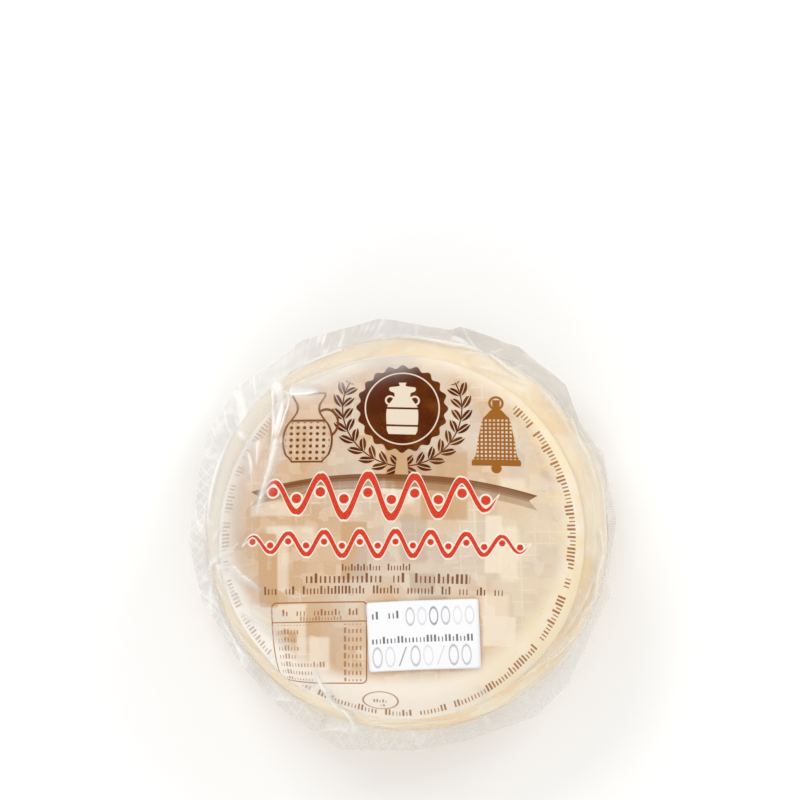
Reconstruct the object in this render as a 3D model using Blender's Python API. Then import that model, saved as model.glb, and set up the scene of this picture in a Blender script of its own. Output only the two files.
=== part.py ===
# A small caciotta, a round soft-rind cheese, vacuum-packed in a clear film pouch.
# The wheel lies on its flat base with a round paper label up. The pouch clings to it
# and ends in a narrow seam flange, left over where its two sheets were sealed.
# A small date sticker is stuck on top. Metres, +Z up, origin at the centre of the base.
# The label reads from -Y, so -Y is the front.

import math
from typing import NamedTuple

import bmesh
import bpy
import numpy as np

# The cheese wheel, a slightly oval barrel with a rounded shoulder and a tucked base
WHEEL_RADIUS = 0.0468
OVAL_SHARE = 0.014
WHEEL_HEIGHT = 0.044
WIDEST_HEIGHT = 0.019
BASE_RADIUS = 0.0365
SHOULDER_POWER = 4.5
TUCK_POWER = 2.6
MERIDIAN_STEPS = 600

# Slow lumps of the hand-turned wheel
LUMP_HEIGHT = 0.00035
LUMP_WAVELENGTH = 0.041

# The seam flange, a fin of two sheets that tents off the wall and droops to its edge
FLANGE_THICKNESS = 0.0007
FLANGE_ROOT_TOP = 0.022
FLANGE_ROOT_BOTTOM = 0.0095
FLANGE_EDGE_HEIGHT = 0.0125
FLANGE_EDGE_WAVE = 0.0016
FLANGE_FILLET_POWER = 2.4
FLANGE_STEPS = (0.1, 0.3, 0.62, 1.0)

# Corners of the trimmed flange, as an angle in degrees from +X and the reach from the axis
# in millimetres. The film was cut straight between them.
FLANGE_CORNERS = (
    (6.5, 50.3),
    (25.4, 51.7),
    (28.0, 50.9),
    (36.0, 50.7),
    (45.4, 53.9),
    (61.0, 55.2),
    (77.0, 55.0),
    (79.5, 53.6),
    (98.0, 55.2),
    (118.0, 55.4),
    (138.6, 55.4),
    (152.0, 54.4),
    (163.0, 52.6),
    (181.0, 52.4),
    (196.0, 51.2),
    (215.0, 49.5),
    (232.0, 50.2),
    (252.6, 52.9),
    (272.0, 50.5),
    (288.0, 49.9),
    (305.7, 51.9),
    (318.0, 51.6),
    (339.6, 49.3),
    (345.6, 50.4),
    (348.0, 49.0),
)

# The round label and the oblong date sticker. Places are given on the wheel's surface
# unrolled flat, as distances along it from the middle of the top.
SKIN_GAP = 0.0003
LABEL_HALF_WIDTH = 0.0427
LABEL_HALF_HEIGHT = 0.0446
LABEL_CENTRE = (-0.0015, -0.0049)
LABEL_THICKNESS = 0.0003
STICKER_LENGTH = 0.026
STICKER_WIDTH = 0.016
STICKER_CORNER = 0.0006
STICKER_CENTRE = (0.0040, -0.0276)
STICKER_TURN = 3.3
STICKER_THICKNESS = 0.0003

# Mesh fineness. Rings are closest on the shoulder, where the folds are.
ROUND_STEPS = 168
BASE_RING_SHARE = 0.6
TUCK_RING_SHARES = (0.0, 0.2, 0.45, 0.72, 1.0)
SHOULDER_RINGS_END = 0.0405
SHOULDER_RINGS = 8
TOP_RINGS = (0.0365, 0.0300, 0.0180)
NORMAL_STEP = 0.0004
LABEL_STEPS = 108
LABEL_RINGS = (0.26, 0.48, 0.64, 0.75, 0.83, 0.89, 0.95, 1.0)
STICKER_COLUMNS = 13
STICKER_ROWS = 8
SMOOTH_ANGLE = math.radians(40)


class Fold(NamedTuple):
    """A raised pleat: points as (degrees round the axis, mm along the surface from the top)."""

    points: tuple
    height: float
    half_width: float


# The main folds of the film, each a pinch that starts at the flange or runs on the shoulder
FOLDS = (
    Fold(((133, 60), (133, 44), (134, 40), (140, 36.5), (152, 33.5)), 0.0017, 0.0019),
    Fold(((133, 44), (117, 43), (103, 42.5), (95, 47)), 0.0009, 0.0018),
    Fold(((154, 34), (165, 33), (181, 34.5), (188, 36.6)), 0.0009, 0.0018),
    Fold(((192, 62), (192, 49), (192, 42), (189, 38)), 0.0015, 0.0019),
    Fold(((193, 48), (200, 40), (209, 37.5)), 0.0008, 0.0017),
    Fold(((255, 63), (252, 52.5), (242, 43.6)), 0.0014, 0.0018),
    Fold(((66, 62), (66, 50), (77, 45.4), (87, 46), (100, 46)), 0.0013, 0.0018),
    Fold(((66, 50), (58, 45), (50, 44.4)), 0.0008, 0.0017),
    Fold(((38, 54), (27, 46.2), (20, 46.2), (12, 44)), 0.0009, 0.0018),
    Fold(((353, 50), (346, 48), (339, 51), (333, 48), (327, 51)), 0.0012, 0.0018),
    Fold(((327, 51), (310, 48), (299, 48)), 0.0007, 0.0018),
)
FOLD_CLEAR_START = 0.0005
FOLD_CLEAR_WIDTH = 0.0025


def clear_the_scene():
    for obj in list(bpy.data.objects):
        bpy.data.objects.remove(obj, do_unlink=True)


def meridian():
    """The wheel's side from the top centre to the base edge: arc lengths, radii, heights."""
    turn = np.linspace(0.0, math.pi / 2, MERIDIAN_STEPS)
    top_rise = WHEEL_HEIGHT - WIDEST_HEIGHT
    tuck = WHEEL_RADIUS - BASE_RADIUS
    radius = np.concatenate(
        (
            WHEEL_RADIUS * np.sin(turn) ** (2 / SHOULDER_POWER),
            BASE_RADIUS + tuck * np.cos(turn[1:]) ** (2 / TUCK_POWER),
        )
    )
    height = np.concatenate(
        (
            WIDEST_HEIGHT + top_rise * np.cos(turn) ** (2 / SHOULDER_POWER),
            WIDEST_HEIGHT * (1 - np.sin(turn[1:]) ** (2 / TUCK_POWER)),
        )
    )
    steps = np.hypot(np.diff(radius), np.diff(height))
    return np.concatenate(((0.0,), np.cumsum(steps))), radius, height


ARC, RADIUS, HEIGHT = meridian()


def smooth_step(value):
    share = min(max(value, 0.0), 1.0)
    return share * share * (3 - 2 * share)


def oval(angle):
    return 1 + OVAL_SHARE * math.cos(2 * angle)


def polar(x, y):
    return math.hypot(x, y), math.atan2(y, x)


def arc_at_height(height):
    """Distance along the surface from the top centre to this height on the wall."""
    return float(np.interp(-height, -HEIGHT, ARC))


def distance_to_segment(x, y, start, end):
    run = (end[0] - start[0], end[1] - start[1])
    length = run[0] ** 2 + run[1] ** 2
    share = ((x - start[0]) * run[0] + (y - start[1]) * run[1]) / length
    share = min(max(share, 0.0), 1.0)
    return math.hypot(x - start[0] - share * run[0], y - start[1] - share * run[1])


def fold_height(x, y):
    """How far the folds lift the skin at a place on the unrolled surface."""
    lift = 0.0
    for fold in FOLDS:
        path = [
            (
                0.001 * arc * math.cos(math.radians(degrees)),
                0.001 * arc * math.sin(math.radians(degrees)),
            )
            for degrees, arc in fold.points
        ]
        nearest = min(
            distance_to_segment(x, y, start, end) for start, end in zip(path, path[1:])
        )
        lift = max(lift, fold.height * math.exp(-((nearest / fold.half_width) ** 2)))
    return lift


def lump_height(x, y):
    wave = math.tau / LUMP_WAVELENGTH
    return LUMP_HEIGHT * math.sin(wave * x + 0.7) * math.cos(wave * (y - 0.3 * x))


def skin_point(x, y, lift):
    """The place of an unrolled point on the real wheel, raised along the normal by lift."""
    arc, angle = polar(x, y)
    radius = float(np.interp(arc, ARC, RADIUS))
    height = float(np.interp(arc, ARC, HEIGHT))
    before = max(arc - NORMAL_STEP, 0.0)
    after = before + 2 * NORMAL_STEP
    out = float(np.interp(after, ARC, RADIUS) - np.interp(before, ARC, RADIUS))
    down = float(np.interp(before, ARC, HEIGHT) - np.interp(after, ARC, HEIGHT))
    slope = math.hypot(out, down)
    radius = radius * oval(angle) + lift * down / slope
    height += lift * out / slope
    return radius * math.cos(angle), radius * math.sin(angle), height


def flange_reach(angle):
    """The reach of the straight-trimmed film edge in this direction, in metres."""
    degrees = math.degrees(angle) % 360
    corners = [*FLANGE_CORNERS, (FLANGE_CORNERS[0][0] + 360, FLANGE_CORNERS[0][1])]
    if degrees < corners[0][0]:
        degrees += 360
    for (before, near), (after, far) in zip(corners, corners[1:]):
        if before <= degrees <= after:
            opening = math.sin(math.radians(after - before))
            weight = near * math.sin(math.radians(degrees - before))
            weight += far * math.sin(math.radians(after - degrees))
            return 0.001 * near * far * opening / weight
    raise ValueError("the corners leave a gap")


def flange_edge_height(angle):
    wave = math.sin(3 * angle + 0.6) + 0.6 * math.sin(7 * angle + 2.1)
    wave += 0.35 * math.sin(16 * angle + 0.9)
    return FLANGE_EDGE_HEIGHT + FLANGE_EDGE_WAVE * wave


def flange_point(angle, share, side):
    """A point on the flange's upper (side 1) or lower (side -1) face, share 0 at the wall."""
    root = FLANGE_ROOT_TOP if side > 0 else FLANGE_ROOT_BOTTOM
    arc = arc_at_height(root)
    wall = float(np.interp(arc, ARC, RADIUS)) * oval(angle)
    edge = flange_edge_height(angle) + side * FLANGE_THICKNESS / 2
    radius = wall + (flange_reach(angle) - wall) * share
    height = edge + (root - edge) * (1 - share) ** FLANGE_FILLET_POWER
    return radius * math.cos(angle), radius * math.sin(angle), height


def pouch_lift(x, y):
    """Folds and lumps of the pouch, with the folds left out where the label covers them."""
    across = (x - LABEL_CENTRE[0]) / LABEL_HALF_WIDTH
    along = (y - LABEL_CENTRE[1]) / LABEL_HALF_HEIGHT
    outside = (math.hypot(across, along) - 1) * LABEL_HALF_WIDTH
    shown = smooth_step((outside - FOLD_CLEAR_START) / FOLD_CLEAR_WIDTH)
    return lump_height(x, y) + shown * fold_height(x, y)


def label_lift(x, y):
    return lump_height(x, y) + fold_height(x, y) + SKIN_GAP


def ring_of_faces(body, lower, upper):
    count = len(lower)
    for i in range(count):
        j = (i + 1) % count
        body.faces.new((lower[i], lower[j], upper[j], upper[i]))


def fan_of_faces(body, ring, centre, upward):
    count = len(ring)
    for i in range(count):
        pair = (ring[i], ring[(i + 1) % count])
        body.faces.new((*(pair if upward else reversed(pair)), centre))


def finish_object(name, body, material):
    """Turns the shape into a smooth-shaded object of this name with its own material."""
    bmesh.ops.recalc_face_normals(body, faces=body.faces)
    mesh = bpy.data.meshes.new(name)
    body.to_mesh(mesh)
    body.free()
    mesh.shade_smooth()
    mesh.set_sharp_from_angle(angle=SMOOTH_ANGLE)
    mesh.materials.append(material)
    bpy.context.scene.collection.objects.link(bpy.data.objects.new(name, mesh))


def plain_material(name, colour, roughness):
    material = bpy.data.materials.new(name)
    material.use_nodes = True
    shader = material.node_tree.nodes["Principled BSDF"]
    shader.inputs["Base Color"].default_value = (*colour, 1.0)
    shader.inputs["Roughness"].default_value = roughness
    shader.inputs["Metallic"].default_value = 0.0
    material.diffuse_color = (*colour, 1.0)
    return material


def pouch_rings():
    """Arc lengths of the rings on the base side and on the top side of the flange."""
    whole = float(ARC[-1])
    low_root = arc_at_height(FLANGE_ROOT_BOTTOM)
    top_root = arc_at_height(FLANGE_ROOT_TOP)
    below = [whole + (low_root - whole) * share for share in TUCK_RING_SHARES]
    step = (SHOULDER_RINGS_END - top_root) / SHOULDER_RINGS
    above = [top_root + step * i for i in range(SHOULDER_RINGS + 1)]
    return below, [*above, *TOP_RINGS]


def make_pouch():
    """The wheel in its clinging film, with the flange round the wall: one closed body."""
    body = bmesh.new()
    angles = [math.tau * i / ROUND_STEPS for i in range(ROUND_STEPS)]
    below, above = pouch_rings()

    def ring(place):
        return [body.verts.new(place(angle)) for angle in angles]

    def skin(arc, lifted):
        def place(angle):
            x = arc * math.cos(angle)
            y = arc * math.sin(angle)
            return skin_point(x, y, pouch_lift(x, y) if lifted else 0.0)

        return place

    def inner_base(angle):
        reach = BASE_RING_SHARE * BASE_RADIUS * oval(angle)
        return reach * math.cos(angle), reach * math.sin(angle), 0.0

    rings = [ring(inner_base)]
    rings += [ring(skin(arc, False)) for arc in below]
    rings += [ring(lambda a, s=s: flange_point(a, s, -1)) for s in FLANGE_STEPS]
    rings += [ring(lambda a, s=s: flange_point(a, s, 1)) for s in reversed(FLANGE_STEPS)]
    rings += [ring(skin(above[0], False))]
    rings += [ring(skin(arc, True)) for arc in above[1:]]
    for lower, upper in zip(rings, rings[1:]):
        ring_of_faces(body, lower, upper)
    fan_of_faces(body, rings[0], body.verts.new((0.0, 0.0, 0.0)), False)
    top = skin_point(0.0, 0.0, pouch_lift(0.0, 0.0))
    fan_of_faces(body, rings[-1], body.verts.new(top), True)
    finish_object("pouch", body, plain_material("film_over_cheese", (0.83, 0.74, 0.58), 0.3))


def make_label():
    """The round paper label, draped over the top and the front and left shoulders."""
    body = bmesh.new()

    def place(share, angle, above):
        x = LABEL_CENTRE[0] + share * LABEL_HALF_WIDTH * math.cos(angle)
        y = LABEL_CENTRE[1] + share * LABEL_HALF_HEIGHT * math.sin(angle)
        return body.verts.new(skin_point(x, y, label_lift(x, y) + above))

    def face(above):
        angles = [math.tau * i / LABEL_STEPS for i in range(LABEL_STEPS)]
        rings = [[place(share, angle, above) for angle in angles] for share in LABEL_RINGS]
        for inner, outer in zip(rings, rings[1:]):
            ring_of_faces(body, inner, outer)
        fan_of_faces(body, rings[0], place(0.0, 0.0, above), True)
        return rings[-1]

    ring_of_faces(body, face(0.0), face(LABEL_THICKNESS))
    finish_object("label", body, plain_material("label_paper", (0.80, 0.68, 0.53), 0.6))


def sticker_outline(column, row):
    """A grid point of the sticker, from its own middle, its corners cut a little round."""
    x = STICKER_LENGTH * (column / STICKER_COLUMNS - 0.5)
    y = STICKER_WIDTH * (row / STICKER_ROWS - 0.5)
    if column in (0, STICKER_COLUMNS) and row in (0, STICKER_ROWS):
        x -= math.copysign(STICKER_CORNER * (1 - math.sqrt(0.5)), x)
        y -= math.copysign(STICKER_CORNER * (1 - math.sqrt(0.5)), y)
    return x, y


def make_date_sticker():
    """The white date sticker, lying on the label and following its curve."""
    body = bmesh.new()
    turn = math.radians(STICKER_TURN)
    base = LABEL_THICKNESS + SKIN_GAP

    def place(column, row, above):
        along, across = sticker_outline(column, row)
        x = STICKER_CENTRE[0] + along * math.cos(turn) - across * math.sin(turn)
        y = STICKER_CENTRE[1] + along * math.sin(turn) + across * math.cos(turn)
        return body.verts.new(skin_point(x, y, label_lift(x, y) + above))

    def face(above):
        grid = [
            [place(column, row, above) for column in range(STICKER_COLUMNS + 1)]
            for row in range(STICKER_ROWS + 1)
        ]
        for near, far in zip(grid, grid[1:]):
            for i in range(STICKER_COLUMNS):
                body.faces.new((near[i], near[i + 1], far[i + 1], far[i]))
        left = [line[0] for line in grid[-2:0:-1]]
        right = [line[-1] for line in grid[1:-1]]
        return grid[0] + right + grid[-1][::-1] + left

    ring_of_faces(body, face(base), face(base + STICKER_THICKNESS))
    finish_object("date_sticker", body, plain_material("sticker_paper", (0.84, 0.84, 0.85), 0.5))


clear_the_scene()
make_pouch()
make_label()
make_date_sticker()
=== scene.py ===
import math

import bpy
import numpy as np
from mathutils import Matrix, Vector


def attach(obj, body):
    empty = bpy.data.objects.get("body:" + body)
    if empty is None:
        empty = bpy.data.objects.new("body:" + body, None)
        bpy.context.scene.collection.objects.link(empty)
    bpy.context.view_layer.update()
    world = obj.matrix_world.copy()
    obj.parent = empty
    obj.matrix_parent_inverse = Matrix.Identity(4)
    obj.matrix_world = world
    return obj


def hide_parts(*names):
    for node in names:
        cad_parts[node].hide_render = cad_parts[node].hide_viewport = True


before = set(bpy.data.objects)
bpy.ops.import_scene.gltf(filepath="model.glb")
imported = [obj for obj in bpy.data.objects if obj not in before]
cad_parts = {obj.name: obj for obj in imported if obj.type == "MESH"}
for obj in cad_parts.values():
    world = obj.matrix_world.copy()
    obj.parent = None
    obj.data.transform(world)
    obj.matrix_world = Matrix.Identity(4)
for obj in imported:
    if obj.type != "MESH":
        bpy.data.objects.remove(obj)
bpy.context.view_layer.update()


# The studio: a plain white floor that the pack lies on, under broad soft boxes.
# The camera looks down on the label from about 80 degrees up, through a long lens,
# and aims behind the pack, so that the pack lies low in the picture.
VIEW_ELEVATION = math.radians(80)
VIEW_DISTANCE = 0.95
VIEW_CENTRE = Vector((0.0, 0.0, 0.022))
VIEW_AIM = Vector((-0.0021, 0.0326, 0.022))
VIEW_LENS = 180.0
VIEW_NEAREST = 0.01
STUDIO_BRIGHTNESS = 0.74
FLOOR_HALF = 3.0
FLOOR_WHITE = (0.96, 0.96, 0.955)
FLOOR_ROUGHNESS = 0.9
FLOOR_SHEEN = 0.1

# Each soft box: degrees round from +X, degrees up, how far off and its sides in metres, watts.
SOFT_BOXES = {
    "box_back_left": (128, 50, 1.1, (0.60, 0.40), 2.9),
    "box_back_right": (42, 42, 1.1, (0.45, 0.30), 1.9),
    "box_front": (262, 38, 1.3, (0.90, 0.50), 3.5),
}


def set_camera():
    camera = bpy.data.objects.new("camera", bpy.data.cameras.new("camera"))
    offset = Vector((0.0, -math.cos(VIEW_ELEVATION), math.sin(VIEW_ELEVATION)))
    camera.location = VIEW_CENTRE + VIEW_DISTANCE * offset
    camera.rotation_euler = (VIEW_AIM - camera.location).to_track_quat("-Z", "Y").to_euler()
    camera.data.lens = VIEW_LENS
    camera.data.clip_start = VIEW_NEAREST
    bpy.context.scene.collection.objects.link(camera)
    bpy.context.scene.camera = camera


def soft_box(name, azimuth, elevation, distance, sides, power):
    """A white area light that faces the pack from this direction."""
    lamp = bpy.data.lights.new(name, "AREA")
    lamp.shape = "RECTANGLE"
    lamp.size, lamp.size_y = sides
    lamp.energy = power
    around, up = math.radians(azimuth), math.radians(elevation)
    direction = Vector((math.cos(around) * math.cos(up), math.sin(around) * math.cos(up), math.sin(up)))
    holder = bpy.data.objects.new(name, lamp)
    holder.location = VIEW_CENTRE + distance * direction
    holder.rotation_euler = (-direction).to_track_quat("-Z", "Y").to_euler()
    bpy.context.scene.collection.objects.link(holder)


def set_world():
    world = bpy.data.worlds.new("studio")
    world.use_nodes = True
    backdrop = world.node_tree.nodes["Background"]
    backdrop.inputs["Color"].default_value = (1.0, 1.0, 1.0, 1.0)
    backdrop.inputs["Strength"].default_value = STUDIO_BRIGHTNESS
    bpy.context.scene.world = world


def lay_floor():
    mesh = bpy.data.meshes.new("floor")
    h = FLOOR_HALF
    mesh.from_pydata([(-h, -h, 0), (h, -h, 0), (h, h, 0), (-h, h, 0)], [], [(0, 1, 2, 3)])
    floor = bpy.data.objects.new("floor", mesh)
    bpy.context.scene.collection.objects.link(floor)
    material = bpy.data.materials.new("floor_white")
    material.use_nodes = True
    shader = material.node_tree.nodes["Principled BSDF"]
    shader.inputs["Base Color"].default_value = (*FLOOR_WHITE, 1.0)
    shader.inputs["Roughness"].default_value = FLOOR_ROUGHNESS
    shader.inputs["Specular IOR Level"].default_value = FLOOR_SHEEN
    mesh.materials.append(material)


set_camera()
set_world()
for name, place in SOFT_BOXES.items():
    soft_box(name, *place)
lay_floor()
bpy.context.scene.view_settings.view_transform = "Standard"


# The cheese wheel: a young, pale curd pressed in a round mould and lightly salted.
# Its rind is thin, cream to straw yellow, a little damp and uneven, with a rounded
# shoulder and a flat base. It lies inside the pouch, just under the film.
WHEEL_RADIUS = 0.0468
OVAL_SHARE = 0.014
WHEEL_HEIGHT = 0.044
WIDEST_HEIGHT = 0.019
BASE_RADIUS = 0.0365
SHOULDER_POWER = 4.5
TUCK_POWER = 2.6
LUMP_HEIGHT = 0.00035
LUMP_WAVELENGTH = 0.041
LUMP_PHASE, LUMP_SLANT = 0.7, 0.3
LUMP_ARC = 0.062
CHEESE_INSET = -0.00025
CHEESE_FOOT = 0.0004
CHEESE_STEPS = 240
CHEESE_RINGS = 90
SLOPE_STEP = 0.0008
CHEESE_PALE = (0.900, 0.780, 0.585)
CHEESE_STRAW = (0.860, 0.640, 0.370)
CHEESE_FRECKLE = (0.930, 0.880, 0.740)
RIND_RINGS_PER_METRE = 150.0
RIND_STREAKS_ROUND = 2.6


def meridian():
    """The wheel's side from the top centre to the base edge: arc lengths, radii, heights."""
    turn = np.linspace(0.0, math.pi / 2, 600)
    top_rise = WHEEL_HEIGHT - WIDEST_HEIGHT
    tuck = WHEEL_RADIUS - BASE_RADIUS
    shoulder = WHEEL_RADIUS * np.sin(turn) ** (2 / SHOULDER_POWER)
    belly = BASE_RADIUS + tuck * np.cos(turn[1:]) ** (2 / TUCK_POWER)
    upper = WIDEST_HEIGHT + top_rise * np.cos(turn) ** (2 / SHOULDER_POWER)
    lower = WIDEST_HEIGHT * (1 - np.sin(turn[1:]) ** (2 / TUCK_POWER))
    radius = np.concatenate((shoulder, belly))
    height = np.concatenate((upper, lower))
    steps = np.hypot(np.diff(radius), np.diff(height))
    return np.concatenate(((0.0,), np.cumsum(steps))), radius, height


ARC, RADIUS, HEIGHT = meridian()


def arc_at_height(height):
    return float(np.interp(-height, -HEIGHT, ARC))


def lumps(x, y):
    """The wheel's slight unevenness, which the film and both papers follow."""
    wave = math.tau / LUMP_WAVELENGTH
    return LUMP_HEIGHT * np.sin(wave * x + LUMP_PHASE) * np.cos(wave * (y - LUMP_SLANT * x))


def on_wheel(x, y, lift):
    """Points of the unrolled surface put back on the wheel, raised along its normal."""
    arc, angle = np.hypot(x, y), np.arctan2(y, x)
    radius, height = np.interp(arc, ARC, RADIUS), np.interp(arc, ARC, HEIGHT)
    before = np.maximum(arc - SLOPE_STEP / 2, 0.0)
    beyond = before + SLOPE_STEP
    out = np.interp(beyond, ARC, RADIUS) - np.interp(before, ARC, RADIUS)
    down = np.interp(before, ARC, HEIGHT) - np.interp(beyond, ARC, HEIGHT)
    slope = np.hypot(out, down)
    radius = radius * (1 + OVAL_SHARE * np.cos(2 * angle)) + lift * down / slope
    height = height + lift * out / slope
    return np.stack((radius * np.cos(angle), radius * np.sin(angle), height), axis=-1)


def sheet_object(name, points, centre=None, foot=None):
    """A mesh from rings of points (ring, step, xyz), closed round, with optional end points."""
    rings, steps = points.shape[:2]
    places = points.reshape(-1, 3)
    index = np.arange(rings * steps).reshape(rings, steps)
    after = np.roll(index, -1, axis=1)
    quads = np.stack((index[:-1], after[:-1], after[1:], index[1:]), axis=-1).reshape(-1, 4)
    faces = quads.tolist()
    for point, ring, forward in ((centre, 0, False), (foot, rings - 1, True)):
        if point is not None:
            places = np.vstack((places, point))
            pole = len(places) - 1
            pair = (index[ring], after[ring]) if forward else (after[ring], index[ring])
            faces += [(int(a), int(b), pole) for a, b in zip(*pair)]
    mesh = bpy.data.meshes.new(name)
    mesh.from_pydata(places.tolist(), [], faces)
    mesh.shade_smooth()
    made = bpy.data.objects.new(name, mesh)
    bpy.context.scene.collection.objects.link(made)
    return made


def keep_on_mesh(piece, name, values):
    """Stores a number or a place for each vertex, for the piece's material to read."""
    values = np.asarray(values, dtype=np.float32)
    kind = "FLOAT" if values.ndim == 1 else "FLOAT_VECTOR"
    layer = piece.data.attributes.new(name, kind, "POINT")
    layer.data.foreach_set("value" if values.ndim == 1 else "vector", values.ravel())


class Wire:
    """A socket in a material. Arithmetic on it adds Math nodes to that material."""

    def __init__(self, tree, socket=None):
        self.tree = tree
        self.socket = socket

    def node(self, kind, settings=None, sockets=None, out=0):
        """Adds any node: settings first, then a value or a link for each named socket."""
        made = self.tree.nodes.new("ShaderNode" + kind)
        for name, value in (settings or {}).items():
            if name == "stops":
                made.color_ramp.interpolation = "CARDINAL"
                ramp = made.color_ramp.elements
                while len(ramp) < len(value):
                    ramp.new(1.0)
                for stop, (place, level) in zip(ramp, value):
                    stop.position = place
                    stop.color = (0.0, 0.0, 0.0, level)
            else:
                setattr(made, name, value)
        for key, value in (sockets or {}).items():
            if isinstance(value, Wire):
                self.tree.links.new(value.socket, made.inputs[key])
            else:
                made.inputs[key].default_value = value
        return Wire(self.tree, made.outputs[out])

    def math(self, operation, *values):
        return self.node("Math", {"operation": operation}, dict(enumerate((self, *values))))

    def __add__(self, other):
        return self.math("ADD", other)

    def __sub__(self, other):
        return self.math("SUBTRACT", other)

    def __rsub__(self, other):
        return self.node("Math", {"operation": "SUBTRACT"}, {0: other, 1: self})

    def __mul__(self, other):
        return self.math("MULTIPLY", other)

    def __truediv__(self, other):
        return self.math("DIVIDE", other)

    def __abs__(self):
        return self.math("ABSOLUTE")

    __radd__ = __add__
    __rmul__ = __mul__

    def above(self, edge, soft):
        """1 where the value is over this edge and 0 under it, with a soft step between."""
        limits = {1: edge - soft / 2, 2: edge + soft / 2}
        return self.node("MapRange", {"interpolation_type": "SMOOTHSTEP"}, {0: self, **limits})

    def below(self, edge, soft):
        return 1 - self.above(edge, soft)


def new_paint(name):
    """A new material: its own Wire to add nodes with, its Principled shader and itself."""
    material = bpy.data.materials.new(name)
    material.use_nodes = True
    return Wire(material.node_tree), material.node_tree.nodes["Principled BSDF"], material


def feed(shader, name, value):
    if isinstance(value, Wire):
        value.tree.links.new(value.socket, shader.inputs[name])
    else:
        shader.inputs[name].default_value = value


def mix_colour(paint, share, first, second):
    """Blends two colours, each a Wire or plain numbers, by a share from 0 to 1."""
    colours = [c if isinstance(c, Wire) else (*c, 1.0) for c in (first, second)]
    return paint.node("Mix", {"data_type": "RGBA"}, {0: share, 6: colours[0], 7: colours[1]}, out=2)


def noise(paint, scale, detail=3.0, place=None, roughness=0.5):
    """Soft noise from about 0.2 to 0.8, in object space unless it is given another place."""
    sockets = {"Scale": scale, "Detail": detail, "Roughness": roughness}
    sockets["Vector"] = place or paint.node("TexCoord", out=3)
    return paint.node("TexNoise", {}, sockets)


def split(place):
    """The x, y and z of a place in a material."""
    parts = place.node("SeparateXYZ", {}, {0: place})
    return [Wire(place.tree, socket) for socket in parts.socket.node.outputs]


def length(x, y):
    return (x * x + y * y).math("SQRT")


def rind_finish():
    """Straw-coloured streaks that run round the wheel, soft patches and pale freckles."""
    paint, shader, material = new_paint("cheese_rind")
    x, y, z = split(paint.node("TexCoord", out=3))
    reach = length(x, y)
    rings = (reach + z) * RIND_RINGS_PER_METRE
    across, along = x / reach * RIND_STREAKS_ROUND, y / reach * RIND_STREAKS_ROUND
    curl = paint.node("CombineXYZ", {}, {0: rings, 1: across, 2: along})
    patches = noise(paint, 55.0, 4.0, None, 0.6).above(0.52, 0.22)
    streaks = noise(paint, 1.0, 3.0, curl, 0.6).above(0.54, 0.13)
    straw = (0.50 * patches + 0.75 * streaks).math("MINIMUM", 1.0)
    freckles = noise(paint, 420.0, 2.0).above(0.63, 0.10) * 0.35
    colour = mix_colour(paint, straw, CHEESE_PALE, CHEESE_STRAW)
    colour = mix_colour(paint, freckles, colour, CHEESE_FRECKLE)
    feed(shader, "Base Color", colour)
    feed(shader, "Roughness", 0.42 + 0.15 * noise(paint, 160.0))
    grain = noise(paint, 260.0, 4.0) + 0.5 * noise(paint, 1100.0, 2.0)
    bump = paint.node("Bump", {}, {"Strength": 0.25, "Distance": 0.0004, "Height": grain})
    feed(shader, "Normal", bump)
    feed(shader, "Subsurface Weight", 0.15)
    feed(shader, "Subsurface Radius", (0.006, 0.004, 0.002))
    feed(shader, "Subsurface Scale", 0.5)
    return material


def make_cheese():
    angle = np.linspace(0, math.tau, CHEESE_STEPS, endpoint=False)
    arcs = np.linspace(0.0, ARC[-1], CHEESE_RINGS)[1:, None]
    x, y = arcs * np.cos(angle), arcs * np.sin(angle)
    lift = lumps(x, y) * (arcs < LUMP_ARC) + CHEESE_INSET
    points = on_wheel(x, y, lift)
    points[..., 2] = np.maximum(points[..., 2], CHEESE_FOOT)
    base = (0.0, 0.0, CHEESE_FOOT)
    top = (0.0, 0.0, WHEEL_HEIGHT + CHEESE_INSET + float(lumps(0.0, 0.0)))
    cheese = sheet_object("cheese_wheel", points[::-1], centre=base, foot=top)
    cheese.data.materials.append(rind_finish())
    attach(cheese, "root")
    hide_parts("pouch")


make_cheese()


# The film: two sheets of clear, soft plastic, sucked tight round the wheel by vacuum
# and sealed to each other. Where they meet they stand off as a narrow embossed flange,
# trimmed by hand. Pinched folds run from it over the shoulder.
FLANGE_ROOT_TOP = 0.022
FLANGE_ROOT_BOTTOM = 0.0095
FLANGE_ROOT_RADIUS = 0.0465
FLANGE_EDGE_HEIGHT = 0.0125
FLANGE_EDGE_WAVE = 0.0016
FLANGE_FILLET_POWER = 2.4
FLANGE_RIPPLE = 0.00022
FLANGE_SEAL_RISE = 4
FLANGE_HALF_GAP = 0.00012

# The straight cuts of the trimmed edge meet at these corners: degrees round, mm from the axis.
FLANGE_CORNERS = (
    (6.5, 50.3), (25.4, 51.7), (28.0, 50.9), (36.0, 50.7), (45.4, 53.9),
    (61.0, 55.2), (77.0, 55.0), (79.5, 53.6), (98.0, 55.2), (118.0, 55.4),
    (138.6, 55.4), (152.0, 54.4), (163.0, 52.6), (181.0, 52.4), (196.0, 51.2),
    (215.0, 49.5), (232.0, 50.2), (252.6, 52.9), (272.0, 50.5), (288.0, 49.9),
    (305.7, 51.9), (318.0, 51.6), (339.6, 49.3), (345.6, 50.4), (348.0, 49.0),
)
LABEL_HALF = (0.0427, 0.0446)
LABEL_CENTRE = (-0.0015, -0.0049)
FILM_OVER_CHEESE = 0.0001
FILM_OVER_LABEL = 0.00075
FILM_STEP_FROM, FILM_STEP_WIDTH = 0.0009, 0.0012

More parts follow.
